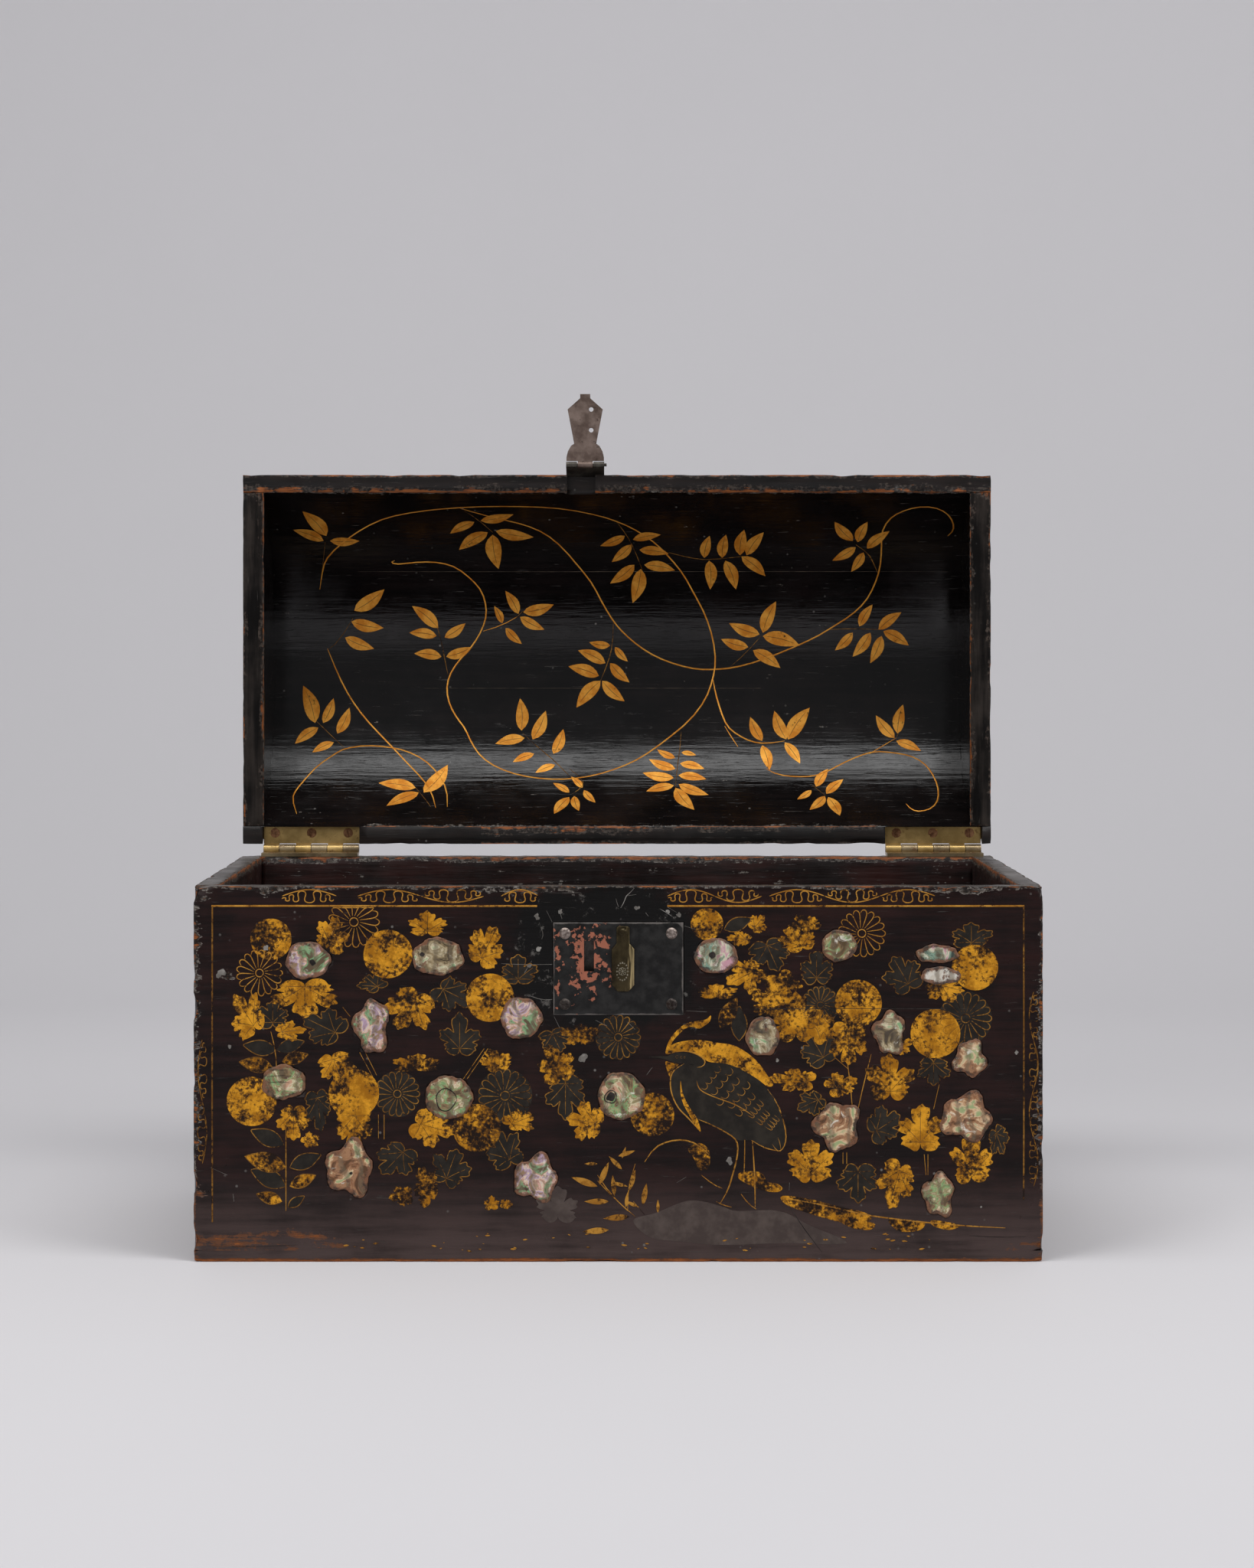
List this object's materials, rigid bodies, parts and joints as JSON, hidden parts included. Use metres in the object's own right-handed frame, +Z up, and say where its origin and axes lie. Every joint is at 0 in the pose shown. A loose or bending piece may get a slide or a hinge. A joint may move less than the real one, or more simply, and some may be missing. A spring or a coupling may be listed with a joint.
{
  "type": "lacquer coffer",
  "caption": "Oblong wooden coffer in dark lacquer with a hinged half-round lid, gilt and mother-of-pearl front, lock plate, hasp and swinging keyhole cover.",
  "frame": {"origin": "middle of the underside, on the floor", "axes": "+Z up, front of the coffer towards -Y, +X along the front to the viewer's right"},
  "size_m": [0.45, 0.3007, 0.4755],
  "materials": {
    "lacquered_wood": "worn gloss lacquer over softwood",
    "bamboo": "plain",
    "brass": "dull, tarnished",
    "iron": "brown patina",
    "black_iron": "black paint, flaked",
    "mother_of_pearl": "iridescent polished shell"
  },
  "bodies": {
    "carcass": {"back_board": "lacquered_wood", "bolt_guides": "iron", "bolt_spring": "iron", "bottom_board": "lacquered_wood", "bottom_pegs": "bamboo", "corner_pegs": "bamboo", "front_board": "lacquered_wood", "hinge_carcass_screws": "iron", "key_pin": "iron", "keyhole_cover_rivet": "brass", "left_end_board": "lacquered_wood", "left_hinge_carcass_leaf": "brass", "left_hinge_pin": "iron", "lock_back_nails": "iron", "lock_back_plate": "iron", "lock_plate": "black_iron", "lock_plate_screws": "iron", "pearl_flower_1": "mother_of_pearl", "pearl_flower_10": "mother_of_pearl", "pearl_flower_2": "mother_of_pearl", "pearl_flower_3": "mother_of_pearl", "pearl_flower_4": "mother_of_pearl", "pearl_flower_5": "mother_of_pearl", "pearl_flower_6": "mother_of_pearl", "pearl_flower_7": "mother_of_pearl", "pearl_flower_8": "mother_of_pearl", "pearl_flower_9_lower": "mother_of_pearl", "pearl_flower_9_upper": "mother_of_pearl", "pearl_leaf_1": "mother_of_pearl", "pearl_leaf_2": "mother_of_pearl", "pearl_leaf_3": "mother_of_pearl", "pearl_leaf_4": "mother_of_pearl", "pearl_leaf_5": "mother_of_pearl", "pearl_leaf_6": "mother_of_pearl", "pearl_leaf_7": "mother_of_pearl", "pearl_leaf_8": "mother_of_pearl", "right_end_board": "lacquered_wood", "right_hinge_carcass_leaf": "brass", "right_hinge_pin": "iron"},
    "lid": {"hasp_pin": "iron", "hasp_strap": "iron", "hasp_strap_nails": "iron", "hinge_lid_screws": "iron", "left_hinge_lid_leaf": "brass", "lid_left_end": "lacquered_wood", "lid_pegs": "bamboo", "lid_right_end": "lacquered_wood", "lid_stave_1": "lacquered_wood", "lid_stave_2": "lacquered_wood", "lid_stave_3": "lacquered_wood", "lid_stave_4": "lacquered_wood", "lid_stave_5": "lacquered_wood", "lid_stave_6": "lacquered_wood", "lid_stave_7": "lacquered_wood", "right_hinge_lid_leaf": "brass"},
    "hasp": {"hasp": "iron"},
    "keyhole_cover": {"keyhole_cover": "brass"},
    "lock_bolt": {"lock_bolt": "iron"}
  },
  "joints": [
    {"name": "lid_hinge", "type": "hinge", "parent": "carcass", "child": "lid", "pos_m": [0, 0.11455, 0.20225], "axis": [1, 0, 0], "range_deg": [0, 90]},
    {"name": "hasp_hinge", "type": "hinge", "parent": "lid", "child": "hasp", "pos_m": [-0.019, 0.10006, 0.43321], "axis": [1, 0, 0], "range_deg": [-70, 90]},
    {"name": "keyhole_cover_swing", "type": "hinge", "parent": "carcass", "child": "keyhole_cover", "pos_m": [0.0025, -0.1123, 0.1748], "axis": [0, -1, 0], "range_deg": [-50, 50]},
    {"name": "lock_bolt_slide", "type": "slide", "parent": "carcass", "child": "lock_bolt", "axis": [-1, 0, 0], "range_m": [0, 0.009]}
  ]
}
